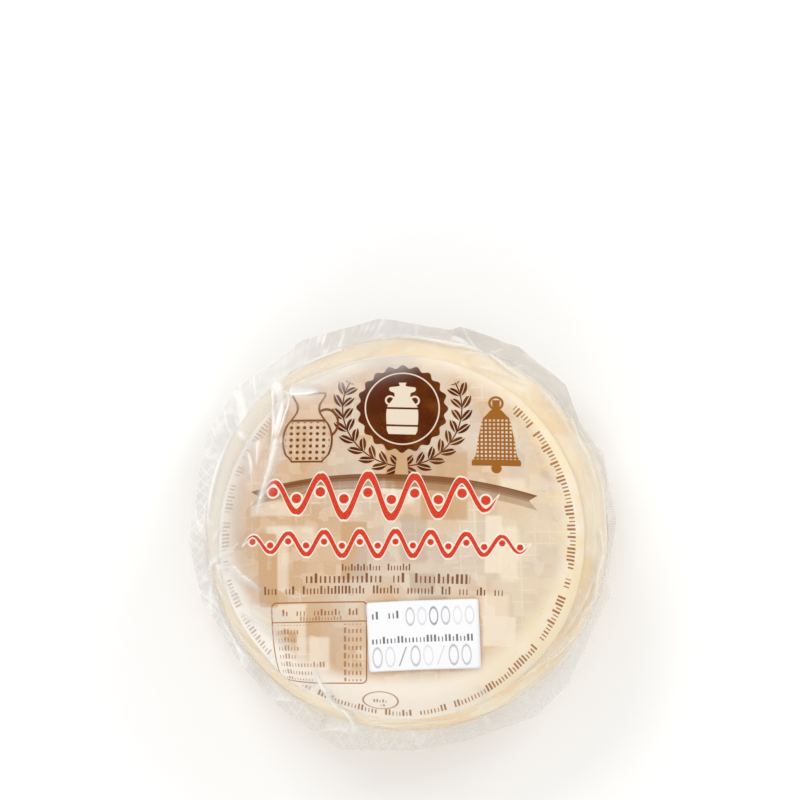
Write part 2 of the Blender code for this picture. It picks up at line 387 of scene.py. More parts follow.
# Each fold: its points as degrees round and mm along the surface from the top, its height in
# mm, its widths in mm on the left and right of the way it runs, how flat its crest is, from 1
# for a crease to 4 for a flap, and how milky white it is: partly the film's own milk where it
# stands off and partly a painted highlight along the fold. One is a veil without height, only a
# painted highlight. The first three make the broad tongue at the upper left: its fill and its
# two pinched edges.
FOLDS = (
    (((133, 62), (133.5, 50), (134.6, 44), (137, 41), (140.6, 39), (148.4, 36.2), (156, 34.6)),
     0.34, 1.3, 1.5, 2.6, 0.62),
    (((135, 47), (138, 43.4), (141.6, 40.4), (146, 38), (150.4, 36.4), (156, 35.4)),
     0.38, 0.40, 0.36, 1.6, 0.74),
    (((133.4, 43.6), (133.8, 41), (136, 39), (139.4, 37.8), (144, 36.4), (149.4, 35.4), (156, 34)),
     0.40, 0.36, 0.44, 1.6, 0.74),
    (((134, 41.6), (131.5, 39.6), (128.6, 37.9), (121.4, 35.6)), 0.28, 0.50, 0.34, 1.8, 0.90),
    (((147.6, 36.4), (152.5, 35), (157.7, 34.2), (164, 33.8), (171, 34), (178, 34.6), (185, 36)),
     0.20, 1.6, 1.2, 1.9, 0.60),
    (((134, 41.6), (131.5, 39.6), (128.6, 37.9), (121.4, 35.6)), 0.22, 2.9, 0.4, 2.6, 0.84),
    (((132, 43), (120, 41.2), (110, 40.6), (100, 40.2), (90, 39.7), (82, 39.5)),
     0.0, 0.4, 5.4, 2.6, 0.58),
    (((132, 44.5), (117, 42.8), (110, 41.6), (103, 42.5), (98, 48)), 0.6, 0.5, 1.8, 1.2, 0.35),
    (((139, 70), (143, 64), (150, 60), (156, 57)), 0.7, 0.7, 1.3, 2.2, 0.90),
    (((152, 40), (157, 38), (163, 36.4)), 0.16, 0.6, 1.6, 1.4, 0.34),
    (((157, 41), (161, 38.6), (167, 37.2)), 0.14, 0.6, 1.3, 1.4, 0.32),
    (((150, 55), (160, 51), (170, 49), (180, 50)), 0.5, 0.8, 2.6, 1.8, 0.45),
    (((192, 66), (192, 50), (191, 42), (188, 38.3)), 0.7, 1.4, 0.5, 1.4, 0.45),
    (((193, 48.4), (195, 42.4), (200, 40.1), (205, 37.9), (209, 37.6)), 0.40, 0.6, 1.6, 1.6, 0.52),
    (((196, 47), (204, 43.5), (212, 43)), 0.3, 0.4, 1.0, 1.3, 0.35),
    (((255, 64), (253, 54), (249, 48.5), (242, 43.6), (237, 40)), 0.9, 0.6, 1.2, 1.5, 0.90),
    (((254, 63), (249, 64), (243, 68)), 0.8, 0.4, 1.2, 1.3, 0.55),
    (((79, 67), (74, 65), (66, 60), (66, 50)), 0.8, 0.4, 1.5, 1.3, 0.55),
    (((66, 50), (77, 45.4), (87, 46.5), (98, 52), (108, 54)), 0.6, 0.5, 2.4, 1.6, 0.55),
    (((82, 60), (93, 62), (104, 61)), 0.5, 0.5, 1.4, 1.4, 0.45),
    (((70, 53), (84, 50.6), (98, 50), (114, 52)), 0.45, 0.5, 1.8, 1.6, 0.50),
    (((110, 47), (122, 49), (131, 55)), 0.4, 0.4, 1.6, 1.6, 0.50),
    (((66, 50), (60, 45.5), (52, 44.4)), 0.6, 1.8, 0.4, 1.6, 0.60),
    (((66, 58), (58, 60), (50, 60), (46, 62)), 0.7, 0.4, 1.3, 1.4, 0.40),
    (((69, 40.6), (58, 42.6), (48, 43.8)), 0.3, 0.4, 1.0, 1.3, 0.35),
    (((38, 60), (33, 50), (27, 46.2), (20, 46.2), (12, 44)), 0.6, 0.5, 1.3, 1.4, 0.60),
    (((33, 53), (20, 50.4), (6, 49.2), (-6, 50.5)), 0.45, 0.5, 1.4, 1.5, 0.50),
    (((26, 57), (12, 54.4), (0, 54)), 0.40, 0.5, 1.3, 1.5, 0.45),
    (((359, 46), (355, 48.5), (350, 50)), 0.5, 0.4, 1.0, 1.4, 0.70),
    (((353, 50), (346, 48.1), (339, 50.7), (333, 47.8), (327, 50.8)), 0.8, 0.5, 1.2, 1.4, 0.75),
    (((344, 56), (338, 54), (329, 56)), 0.40, 0.4, 1.1, 1.4, 0.50),
    (((327, 50.8), (321, 50), (310, 47.6), (299, 47.2)), 0.4, 0.4, 0.9, 1.3, 0.50),
    (((318, 60), (308, 58), (296, 61)), 0.5, 0.4, 1.2, 1.3, 0.40),
    (((262, 58), (276, 55), (290, 57)), 0.45, 0.5, 1.2, 1.4, 0.35),
    (((216, 52), (228, 50), (240, 52)), 0.40, 0.5, 1.2, 1.4, 0.40),
    (((222, 66), (212, 62), (204, 63)), 0.5, 0.4, 1.2, 1.3, 0.40),
    (((170, 58), (178, 54.6), (187, 55)), 0.45, 0.4, 1.5, 1.4, 0.50),
    (((209, 45.0), (216, 42.4), (224, 41.2), (229, 38.6)), 0.14, 0.5, 1.0, 1.6, 0.46),
    (((211, 42.6), (218, 40.6), (226, 38.8)), 0.12, 0.4, 0.8, 1.6, 0.42),
    (((208, 41.4), (215, 38.8), (223, 37.4)), 0.10, 0.4, 0.8, 1.6, 0.38),
    (((210, 39.4), (217, 36.8), (225, 35.6)), 0.08, 0.4, 0.7, 1.6, 0.32),
    (((47, 47.5), (36, 45.6), (24, 45.0), (12, 46.4), (0, 46.0)), 0.20, 0.6, 2.2, 1.5, 0.34),
    (((20, 43.4), (8, 43.8), (-6, 44.8), (-18, 46.4)), 0.16, 0.5, 1.8, 1.5, 0.30),
    (((-8, 48.5), (-20, 46.6), (-31, 46.0), (-42, 47.4)), 0.30, 0.5, 1.6, 1.4, 0.45),
    (((-24, 50.5), (-36, 48.6), (-50, 47.6), (-63, 48.2)), 0.35, 0.5, 1.8, 1.4, 0.40),
)

# Fine creases: how many on each sheet, then each sheet's seed and the mm from the top of the
# wheel between which they start.
SMALL_CREASES = 130
UPPER_CREASES = (7, 48, 72)
LOWER_CREASES = (5, 76, 92)
LOWER_CREASE_GAIN, LOWER_CREASES_ABOVE = 1.5, 0.0008

# The steps round and rings of each sheet, close enough for the folds to stand out.
UPPER_STEPS = 690
UPPER_MIDDLE_ARCS = np.linspace(0.004, 0.024, 6)
UPPER_FOLDS_FROM = 0.0265
UPPER_FOLD_RINGS = 110
UPPER_FLANGE_RINGS = 27
LOWER_STEPS = 360
LOWER_FLANGE_RINGS = 22
LOWER_WALL_RINGS = 26
LOWER_FLANGE_ARC = 0.006
LOWER_MIDDLE_RING = 0.8

# The flap: degrees round at its ends, its steps, its lift over the flange, and where its
# inner and outer edges lie as shares of the way out.
FLAP_FROM, FLAP_TO = 29.0, 78.5
FLAP_STEPS = 150
FLAP_RINGS = 12
FLAP_LIFT = 0.0004
FLAP_LOOP_LIFT = 0.0003
FLAP_THICKNESS = 0.00012
FLAP_INNER_SHARE, FLAP_INNER_BOW, FLAP_OUTER_SHARE = 0.30, 0.16, 0.985
FLAP_SEAL, FLAP_HAZE = 0.42, 0.04

# Loose film is milky: a veil over the back left shoulder and one over the left of the label.
LOOSE_EVERYWHERE = 0.05
BACK_VEIL, BACK_VEIL_DEGREES, BACK_VEIL_SPREAD = 0.30, 132, 1.3
BACK_VEIL_FROM, BACK_VEIL_SOFT, BACK_VEIL_OFF_LABEL = 0.040, 0.006, 0.7
LEFT_VEIL, LEFT_VEIL_DEGREES, LEFT_VEIL_SPREAD = 0.36, 170, 0.62
LEFT_VEIL_FROM, LEFT_VEIL_SOFT = 0.0345, 0.005
LOWER_HAZE, LOWER_MIDDLE_HAZE = 0.08, 0.10

# The film's colours, and how much cover each of its features has.
FILM_GREY = (0.79, 0.79, 0.78)
FILM_WARM = (0.82, 0.78, 0.72)
FILM_SHADED = (0.64, 0.61, 0.57)
# The milky white and the folds' milk also paint the highlights along folds and creases.
FILM_MILK_AND_HIGHLIGHT = (0.97, 0.94, 0.89)
BARE_MILK, FOLD_MILK_AND_HIGHLIGHT, FEATHER_MILK = 0.001, 0.76, 0.10
SEAL_MILK, CLOUD_MILK, PRESSED_MILK = 0.36, 0.20, 0.05
BARE_GLOSS, EDGE_GLOSS, FOLD_GLOSS = 0.004, 0.12, 0.12
MOST_COVER = 0.95
QUILT_PITCH = 2.3
RIB_WAVE = 490.0


def smooth_step(value):
    share = np.clip(value, 0.0, 1.0)
    return share * share * (3 - 2 * share)


def distance_along(x, y, path):
    """Signed distance to a path on the unrolled surface, and how far along it that is."""
    best = np.full(x.shape, 1.0)
    place, side = np.zeros(x.shape), np.ones(x.shape)
    count = len(path) - 1
    for i, (start, end) in enumerate(zip(path, path[1:])):
        run = end - start
        dx, dy = x - start[0], y - start[1]
        share = np.clip((dx * run[0] + dy * run[1]) / run.dot(run), 0.0, 1.0)
        distance = np.hypot(dx - share * run[0], dy - share * run[1])
        nearer = distance < best
        place = np.where(nearer, (i + share) / count, place)
        side = np.where(nearer, np.sign(run[0] * dy - run[1] * dx), side)
        best = np.minimum(distance, best)
    return best * side, place


def unrolled(points, steps=6):
    """Fold points in degrees and mm as places in metres, rounded into a smooth path."""
    angle = np.radians([p[0] for p in points])
    arc = 0.001 * np.array([p[1] for p in points])
    corners = np.stack((arc * np.cos(angle), arc * np.sin(angle)), axis=-1)
    ends = np.vstack((2 * corners[0] - corners[1], corners, 2 * corners[-1] - corners[-2]))
    smooth = [corners[0]]
    for a, b, c, d in zip(ends, ends[1:], ends[2:], ends[3:]):
        for t in np.arange(1, steps + 1) / steps:
            pull = (c - a) * t + (2 * a - 5 * b + 4 * c - d) * t ** 2
            pull = pull + (3 * b - a - 3 * c + d) * t ** 3
            smooth.append(b + pull / 2)
    return np.array(smooth)


def fold_shape(x, y):
    """How far the main folds lift the film, as pleats that narrow and fade, and its milky white, which
    is partly painted highlight.
    """
    lift, milk_and_highlight = np.zeros(x.shape), np.zeros(x.shape)
    for points, height, left, right, flat, white in FOLDS:
        distance, place = distance_along(x, y, unrolled(points))
        width = 0.001 * np.where(distance > 0, left, right) * (1.25 - 0.6 * place)
        taper = smooth_step(place / 0.12 + 0.25) * smooth_step((1 - place) / 0.3)
        ridge = taper * np.exp(-((np.abs(distance) / width) ** flat))
        lift = np.maximum(lift, 0.001 * height * ridge)
        # milky white along each fold: the film's milk and a painted highlight
        milk_and_highlight = np.maximum(milk_and_highlight, white * ridge)
    return lift, milk_and_highlight


def crease_shape(x, y, seed, nearest, farthest):
    """Fine creases, short tapered ridges that start this many mm out and run inward, with milky white
    lines along them that are partly painted highlight.
    """
    draw = np.random.default_rng(seed)
    lift, milk_and_highlight = np.zeros(x.shape), np.zeros(x.shape)
    for _ in range(SMALL_CREASES):
        degrees = draw.uniform(0, 360)
        low = draw.uniform(nearest, farthest)
        high = low - draw.uniform(1, 9)
        lean = draw.normal(0, 6)
        bow = draw.normal(0, 1.6)
        middle = (degrees + lean / 2 + bow, (low + high) / 2)
        path = unrolled(((degrees, low), middle, (degrees + lean, high)), 4)
        distance, place = distance_along(x, y, path)
        wide, narrow = 0.001 * draw.uniform(0.5, 1.2), 0.001 * draw.uniform(0.25, 0.5)
        half_width = np.where(distance > 0, wide, narrow)
        ridge = np.sin(np.pi * np.clip(place, 0.0, 1.0))
        ridge = ridge * np.exp(-((np.abs(distance) / half_width) ** 1.3))
        lift = np.maximum(lift, 0.001 * draw.uniform(0.10, 0.34) * ridge)
        # milky white line along each crease: the film's milk and a painted highlight
        milk_and_highlight = np.maximum(milk_and_highlight, draw.uniform(0.15, 0.55) * ridge)
    return lift, milk_and_highlight


def over_label(x, y):
    """1 over the label and 0 off it, with a slope where the film steps down its edge."""
    across = (x - LABEL_CENTRE[0]) / LABEL_HALF[0]
    along = (y - LABEL_CENTRE[1]) / LABEL_HALF[1]
    inside = (1 - np.hypot(across, along)) * LABEL_HALF[0]
    return smooth_step((inside + FILM_STEP_FROM) / FILM_STEP_WIDTH)


def flange_reach(angle):
    """The reach of the straight-trimmed film edge in each direction, in metres."""
    corners = [*FLANGE_CORNERS, (FLANGE_CORNERS[0][0] + 360, FLANGE_CORNERS[0][1])]
    degrees = np.degrees(angle) % 360
    degrees = np.where(degrees < corners[0][0], degrees + 360, degrees)
    reach = np.zeros(degrees.shape)
    for (before, near), (after, far) in zip(corners, corners[1:]):
        inside = (degrees >= before) & (degrees <= after)
        weight = near * np.sin(np.radians(degrees - before))
        weight = weight + far * np.sin(np.radians(after - degrees))
        chord = near * far * math.sin(math.radians(after - before)) / weight
        reach = np.where(inside, 0.001 * chord, reach)
    return reach


def flange_edge_height(angle):
    wave = np.sin(3 * angle + 0.6) + 0.6 * np.sin(7 * angle + 2.1)
    wave = wave + 0.35 * np.sin(16 * angle + 0.9)
    return FLANGE_EDGE_HEIGHT + FLANGE_EDGE_WAVE * wave


def flange_ripple(angle, share):
    """Small waves of the flange, strongest at its free edge."""
    wave = np.sin(31 * angle + 1.3 * np.sin(5 * angle)) + 0.7 * np.sin(57 * angle + 2.0)
    return FLANGE_RIPPLE * wave * share * (1 - 0.3 * share)


def flange_sheet(angle, shares, side):
    """The flange's upper (side 1) or lower (side -1) film, from the wall out to the edge."""
    root = FLANGE_ROOT_TOP if side > 0 else FLANGE_ROOT_BOTTOM
    wall = np.interp(arc_at_height(root), ARC, RADIUS) * (1 + OVAL_SHARE * np.cos(2 * angle))
    edge = flange_edge_height(angle) + side * FLANGE_HALF_GAP
    radius = wall + (flange_reach(angle) - wall) * shares
    height = edge + (root - edge) * (1 - shares) ** FLANGE_FILLET_POWER
    height = height + flange_ripple(angle, shares)
    return np.stack((radius * np.cos(angle), radius * np.sin(angle), height), axis=-1)


def normals_of(points):
    """Unit normals of a closed sheet of points, pointing out and up."""
    across = np.gradient(points, axis=0)
    around = np.roll(points, -1, axis=1) - np.roll(points, 1, axis=1)
    normal = np.cross(across, around)
    return normal / np.maximum(np.linalg.norm(normal, axis=-1, keepdims=True), 1e-12)


def swell(angle, degrees, spread):
    """1 in one direction round the wheel, down to 0 at pi / 2 spreads from it, in radians."""
    turned = (angle - math.radians(degrees)) / spread
    return np.cos(np.clip(turned, -math.pi / 2, math.pi / 2)) ** 2


def crossed(x, y, pitch):
    """Two sets of thin slanting lines that cross, as pressed into the film by its seal bar."""
    wave = math.pi / (pitch * math.sqrt(2))
    first = abs(((x + y * 0.9) * wave).math("SINE"))
    second = abs(((x * 0.9 - y) * wave).math("SINE"))
    return first.math("MAXIMUM", second).above(0.955, 0.09)


def film_finish(name):
    """Clear film: see-through, with a soft gloss, and milky where it is lifted or embossed, with
    painted highlight in the milky white along its folds and creases.
    """
    paint, shader, material = new_paint(name)
    seal = paint.node("Attribute", {"attribute_name": "seal"}, out=2)
    haze = paint.node("Attribute", {"attribute_name": "haze"}, out=2)
    flat = paint.node("Attribute", {"attribute_name": "flat"}, out=1)
    x, y, _ = split(flat)

    # pressed lines: crossed ones at the front left of the seal and ribs at its right
    embossed = (0 - 0.8 * x - 0.6 * y).above(32.0, 14.0)
    clearer = 1 - 0.55 * (0.45 * x - y).above(36.0, 20.0)
    worn = 0.35 + 0.45 * noise(paint, 0.10, 1.0, flat).above(0.50, 0.20)
    quilt = crossed(x, y, QUILT_PITCH) * embossed * worn
    turn = y.math("ARCTAN2", x)
    ribbed = abs(turn + 0.02).below(0.34, 0.10)
    ribs = (turn * RIB_WAVE).math("SINE").above(0.2, 1.0) * ribbed
    pressed = quilt.math("MAXIMUM", ribs) * seal

    # milk: the folds' and creases' milky white, partly painted highlight, clouds in the seal,
    # and fine feathers that run out across it at the back left
    cloud = noise(paint, 0.10, 2.0, flat).above(0.50, 0.35)
    reach = length(x, y)
    spokes = paint.node("CombineXYZ", {}, {0: turn * 34.0 + reach * 0.45, 1: reach * 0.12})
    feather = noise(paint, 1.0, 3.0, spokes).above(0.60, 0.16) * seal
    feather = feather * abs(turn - 2.25).below(0.55, 0.5)
    milk_and_painted_highlight = BARE_MILK + FOLD_MILK_AND_HIGHLIGHT * haze + FEATHER_MILK * feather
    milk_and_painted_highlight = milk_and_painted_highlight + seal * clearer * (SEAL_MILK + CLOUD_MILK * cloud + PRESSED_MILK * pressed)

    # cover: the milk with its painted highlight, and a gloss that grows where the film is seen edge on
    edge_on = paint.node("LayerWeight", {}, {"Blend": 0.25}, out=1)
    gloss = BARE_GLOSS + EDGE_GLOSS * edge_on + FOLD_GLOSS * haze
    cover = (milk_and_painted_highlight + gloss).math("MINIMUM", MOST_COVER)

    # tint: grey, warmer toward the back right, darker at the back, and white where milky, the
    # white along folds and creases being partly painted highlight
    warm = (0.5 * x + 0.6 * y).above(16.0, 50.0)
    grey = mix_colour(paint, warm, FILM_GREY, FILM_WARM)
    shaded = (y - abs(x + 6.0)).above(34.0, 14.0)
    grey = mix_colour(paint, shaded, grey, FILM_SHADED)
    white = (haze + pressed * 0.7 + feather * 0.5).math("MINIMUM", 1.0)
    tint = mix_colour(paint, white, grey, FILM_MILK_AND_HIGHLIGHT)

    feed(shader, "Base Color", tint)
    feed(shader, "Metallic", gloss / (milk_and_painted_highlight + gloss))
    feed(shader, "Roughness", 0.22 + 0.20 * seal)
    fine = noise(paint, 0.9, 3.0, flat) * 0.5 + pressed * 0.4
    bump = paint.node("Bump", {}, {"Strength": 0.30, "Distance": 0.0003, "Height": fine})
    feed(shader, "Normal", bump)
    clear = paint.node("BsdfTransparent")
    body = Wire(paint.tree, shader.outputs[0])
    mixed = paint.node("MixShader", {}, {0: cover, 1: clear, 2: body})
    output = paint.tree.nodes["Material Output"]
    paint.tree.links.new(mixed.socket, output.inputs["Surface"])
    return material


def film_values(piece, x, y, seal, haze, poles):
    """Stores the unrolled place in mm, the flange's share and the milkiness, partly painted highlight,
    on the film.
    """
    flat = np.stack((1000 * x, 1000 * y, 0 * x), axis=-1).reshape(-1, 3)
    seal, haze = seal.ravel(), haze.ravel()
    for at, milk_and_highlight in poles:
        flat = np.vstack((flat, (1000 * at[0], 1000 * at[1], 0.0)))
        seal, haze = np.append(seal, 0.0), np.append(haze, milk_and_highlight)
    keep_on_mesh(piece, "flat", flat)
    keep_on_mesh(piece, "seal", seal)
    keep_on_mesh(piece, "haze", haze)


def dress_film(piece):
    piece.data.materials.append(film_finish(piece.name + "_clear"))
    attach(piece, "root")
    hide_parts("pouch")


def make_upper_film():
    """The top sheet: over the label, down the shoulder and wall and out to the trimmed edge."""
    angle = np.linspace(0, math.tau, UPPER_STEPS, endpoint=False)[None, :]
    root = arc_at_height(FLANGE_ROOT_TOP)
    folded = np.linspace(UPPER_FOLDS_FROM, root, UPPER_FOLD_RINGS)
    arcs = np.concatenate((UPPER_MIDDLE_ARCS, folded))[:, None]
    shares = np.linspace(0, 1, UPPER_FLANGE_RINGS)[1:, None]
    wheel = on_wheel(arcs * np.cos(angle), arcs * np.sin(angle), 0.0 * arcs * angle)
    base = np.concatenate((wheel, flange_sheet(angle, shares, 1)))
    beyond = root + shares * (flange_reach(angle) - FLANGE_ROOT_RADIUS)
    arc = np.concatenate((arcs + 0 * angle, beyond))
    seal = np.concatenate((0 * wheel[..., 0], smooth_step(shares * FLANGE_SEAL_RISE) + 0 * angle))
    x, y = arc * np.cos(angle), arc * np.sin(angle)
    folds, fold_milk_and_highlight = fold_shape(x, y)
    creases, crease_milk_and_highlight = crease_shape(x, y, *UPPER_CREASES)
    covered = over_label(x, y)
    back = LOOSE_EVERYWHERE + BACK_VEIL * swell(angle, BACK_VEIL_DEGREES, BACK_VEIL_SPREAD)
    back = back * smooth_step((arc - BACK_VEIL_FROM) / BACK_VEIL_SOFT)
    left = LEFT_VEIL * swell(angle, LEFT_VEIL_DEGREES, LEFT_VEIL_SPREAD)
    left = left * smooth_step((arc - LEFT_VEIL_FROM) / LEFT_VEIL_SOFT) * (arc < root)
    loose = back * (1 - BACK_VEIL_OFF_LABEL * covered) + left
    lift = lumps(x, y) * (arc < root) + folds + creases
    lift = lift + FILM_OVER_CHEESE + (FILM_OVER_LABEL - FILM_OVER_CHEESE) * covered
    points = base + normals_of(base) * lift[..., None]
    peak = float(lumps(0.0, 0.0)) + FILM_OVER_LABEL
    top = (0.0, 0.0, WHEEL_HEIGHT + peak)
    film = sheet_object("film_upper_sheet", points[::-1], foot=top)
    # haze: painted highlight and milk along the folds and creases, with the loose film's veils
    haze = np.maximum(fold_milk_and_highlight, crease_milk_and_highlight) + loose
    film_values(film, x[::-1], y[::-1], seal[::-1], haze[::-1], [((0.0, 0.0), 0.0)])
    dress_film(film)


def make_flap():
    """The doubled flap at the back right: a strip of film folded over onto the flange."""
    angle = np.radians(np.linspace(FLAP_FROM, FLAP_TO, FLAP_STEPS))[None, :]
    share = np.linspace(0.0, 1.0, FLAP_RINGS)[:, None]
    bow = np.sin(np.linspace(0.0, math.pi, FLAP_STEPS))[None, :]
    inner = FLAP_INNER_SHARE + FLAP_INNER_BOW * bow
    shares = inner + (FLAP_OUTER_SHARE - inner) * share
    base = flange_sheet(angle, shares, 1)
    base[..., 2] += FLAP_LIFT + FLAP_LOOP_LIFT * (1 - share) ** 2
    under = base.copy()
    under[..., 2] -= FLAP_THICKNESS
    loop = np.concatenate((base, under[::-1]))
    index = np.arange(len(loop) * FLAP_STEPS).reshape(len(loop), FLAP_STEPS)
    after = np.roll(index, -1, axis=0)
    quads = np.stack((index[:, :-1], after[:, :-1], after[:, 1:], index[:, 1:]), axis=-1)
    faces = quads.reshape(-1, 4).tolist() + [index[:, 0].tolist()[::-1], index[:, -1].tolist()]
    mesh = bpy.data.meshes.new("film_back_flap")
    mesh.from_pydata(loop.reshape(-1, 3).tolist(), [], faces)
    flap = bpy.data.objects.new("film_back_flap", mesh)
    bpy.context.scene.collection.objects.link(flap)
    x, y = loop[..., 0], loop[..., 1]
    film_values(flap, x, y, FLAP_SEAL + 0 * x, FLAP_HAZE + 0 * x, [])
    dress_film(flap)


def make_lower_film():
    """The bottom sheet: from the trimmed edge back to the wall, down and under the base."""
    angle = np.linspace(0, math.tau, LOWER_STEPS, endpoint=False)[None, :]
    shares = np.linspace(1, 0, LOWER_FLANGE_RINGS)[:, None]
    root = arc_at_height(FLANGE_ROOT_BOTTOM)
    arcs = np.append(np.linspace(root, ARC[-1], LOWER_WALL_RINGS)[1:], ARC[-1])[:, None]
    wheel = on_wheel(arcs * np.cos(angle), arcs * np.sin(angle), 0.0 * arcs * angle)
    wheel[-1, :, :2] *= LOWER_MIDDLE_RING
    base = np.concatenate((flange_sheet(angle, shares, -1), wheel))
    beyond = root - shares * LOWER_FLANGE_ARC
    arc = np.concatenate((beyond + 0 * angle, arcs + 0 * angle))
    seal = np.concatenate((smooth_step(shares * FLANGE_SEAL_RISE) + 0 * angle, 0 * wheel[..., 0]))
    x, y = arc * np.cos(angle), arc * np.sin(angle)
    creases, milk_and_highlight = crease_shape(x, y, *LOWER_CREASES)
    outward = np.stack((np.cos(angle), np.sin(angle), 0 * angle), axis=-1)
    creases = LOWER_CREASE_GAIN * creases * (base[..., 2] > LOWER_CREASES_ABOVE)
    base = base + outward * creases[..., None]
    film = sheet_object("film_lower_sheet", base, foot=(0.0, 0.0, 0.0))
    film_values(film, x, y, seal, LOWER_HAZE + milk_and_highlight, [((0.0, 0.0), LOWER_MIDDLE_HAZE)])
    dress_film(film)


make_upper_film()
make_flap()
make_lower_film()


# The label: a round of cream paper, laid on the cheese before packing and held down by the
# film, draped over the shoulder at the front and left. It is printed in browns and red over
# a soft sepia field, with plain motifs and rows of small bars.
LABEL_LOW = 0.0003
LABEL_THICKNESS = 0.0003
LABEL_STEPS = 300
LABEL_RINGS = 90
LABEL_FOLD_SHARE = 0.35
PAPER = (0.880, 0.790, 0.680)
# Lighter paper for the left side: painted light that lifts the shade on the left of the label.
PAPER_PAINTED_LIGHT = (0.960, 0.920, 0.850)
PAPER_BLOT = (0.870, 0.680, 0.400)
PAPER_SPOT = (0.760, 0.470, 0.190)
PAPER_DAMP = (0.870, 0.735, 0.505)
PICTURE_LIGHT = (0.820, 0.700, 0.550)
PICTURE_DARK = (0.560, 0.330, 0.160)
PICTURE_GREY = (0.540, 0.410, 0.310)
BROWN_DARK = (0.088, 0.014, 0.001)
BROWN_MID = (0.180, 0.050, 0.004)
BROWN_PALE = (0.330, 0.120, 0.016)
RED = (0.620, 0.036, 0.008)

# Places and sizes of the print are in mm on the flat label, from the wheel's axis.
FIELD_CENTRE, FIELD_RADIUS, FIELD_FRONT = (-2.6, -1.0), 38.5, -38.0
PICTURE_BLOCKS = 20
SEAL_CENTRE, SEAL_RADIUS = (-1.5, 26.3), 10.4
SEAL_SCALLOPS, SEAL_SCALLOP_DEPTH = 20, 0.42
WREATH_RADIUS, LEAF_PITCH = 14.0, 3.1
CHURN_HEIGHT = 12.6
JUG_FOOT, JUG_HEIGHT, JUG_DOT_PITCH = (-23.4, 12.9), 17.0, 1.5
BELL_FOOT, BELL_HEIGHT, BELL_CHECK_PITCH = (20.4, 12.4), 16.0, 0.95
RIBBON_CREST, RIBBON_BOW = (-4.0, 8.6), 0.0042
RIBBON_HALF_WIDTH, RIBBON_HALF_LENGTH = 1.75, 31.0
PANEL_CENTRE, PANEL_STRAIGHT, PANEL_CORNER = (-20.15, -29.5), (9.75, 8.3), 1.2
PANEL_CLEAR_HALF = (11.6, 10.4)
PANEL_LINE_PITCH = 1.95
OVAL_CENTRE, OVAL_HALF = (-6.0, -43.3), (4.2, 2.3)
RING_CENTRE, RING_RADIUS, RING_STRETCH = (-2.2, -4.8), 39.9, 1.05
RING_HALF_LENGTH, RING_OPEN = 126.0, 0.72

# Each silhouette: its half width in mm by share of its height.
CHURN = (
    (0.0, 3.2), (0.07, 3.6), (0.52, 3.6), (0.70, 2.1),
    (0.80, 2.0), (0.83, 2.9), (0.91, 2.9), (0.93, 0.9),
)
JUG = ((0.0, 3.4), (0.10, 4.9), (0.33, 5.6), (0.54, 4.6), (0.68, 2.9), (0.82, 2.6), (0.95, 3.7))
BELL = ((0.0, 5.6), (0.07, 5.6), (0.14, 4.8), (0.45, 4.0), (0.72, 3.0), (0.84, 1.3), (0.87, 0.9))

# Each scroll: its middle line, where it starts and ends, its wave, its height, its width.
SCROLLS = ((5.0, -33.6, 20.6, 10.84, 4.9, 1.8), (-6.2, -37.4, 27.8, 8.15, 2.9, 1.2))

# Each row of bars: where it starts and ends, its middle line, height, pitch and seed.
MAIN_ROWS = (
    (-15.0, 1.0, -11.8, 1.6, 0.70, 1),
    (-23.7, 14.6, -14.3, 2.3, 1.05, 2),
    (-32.7, 22.2, -17.1, 1.9, 0.80, 3),
)
PANEL_TITLES = ((-8.6, 9.6, 7.2, 1.5, 0.8, 4), (-4.6, 5.4, 5.8, 1.0, 0.7, 5))
PANEL_LEFT, PANEL_RIGHT = (-10.0, 9.0, 0.95, 1.25, 0.75, 6), (5.6, 10.0, 0.95, 1.35, 0.9, 7)
OVAL_ROWS = ((-1.8, 1.8, 0.0, 0.8, 0.7, 8), (-1.0, 1.0, -1.2, 0.7, 0.7, 9))
RING_ROW = (-RING_HALF_LENGTH, RING_HALF_LENGTH, RING_RADIUS, 2.0, 0.85, 10)


def box(x, y, centre, half, soft=0.12):
    """1 inside an upright oblong, from its centre and its half width and half height."""
    wide = abs(x - centre[0]).below(half[0], soft)
    return wide * abs(y - centre[1]).below(half[1], soft)


def chance(paint, cell):
    """A random number from 0 to 1 for each whole number."""
    return paint.node("TexWhiteNoise", {"noise_dimensions": "1D"}, {"W": cell})


def bars(x, y, start, end, middle, tall, pitch, seed):
    """A row of small upright bars of uneven size, in groups with gaps between them."""
    place = x / pitch + seed * 31.7
    cell = place.math("FLOOR")
    own = chance(x, cell)
    group = chance(x, (cell / 5.0).math("FLOOR"))
    half_width = 0.13 + 0.18 * own
    bar = (abs(place - cell - 0.5) - half_width).below(0.0, 0.12)
    filled = (place / 5.0).math("FRACT").below(0.62, 0.02).math("MAXIMUM", group.above(0.45, 0.02))
    tops = tall * (0.20 + 0.30 * own.above(0.6, 0.02))
    level = (y - middle - tops).below(0.0, 0.15) * (y - middle).above(-0.5 * tall, 0.15)
    inside = abs(x - (start + end) / 2).below((end - start) / 2, 0.1)
    return bar * filled * level * inside


def profile(x, v, stops, widest):
    """How far outside an upright silhouette a place is, v being its share of the height."""
    levels = [(place, half / widest) for place, half in stops]
    half = x.node("ValToRGB", {"stops": levels}, {0: v}, out=1) * widest
    beyond_ends = abs(v - 0.5) * 20 - 10
    return (abs(x) - half).math("MAXIMUM", beyond_ends)


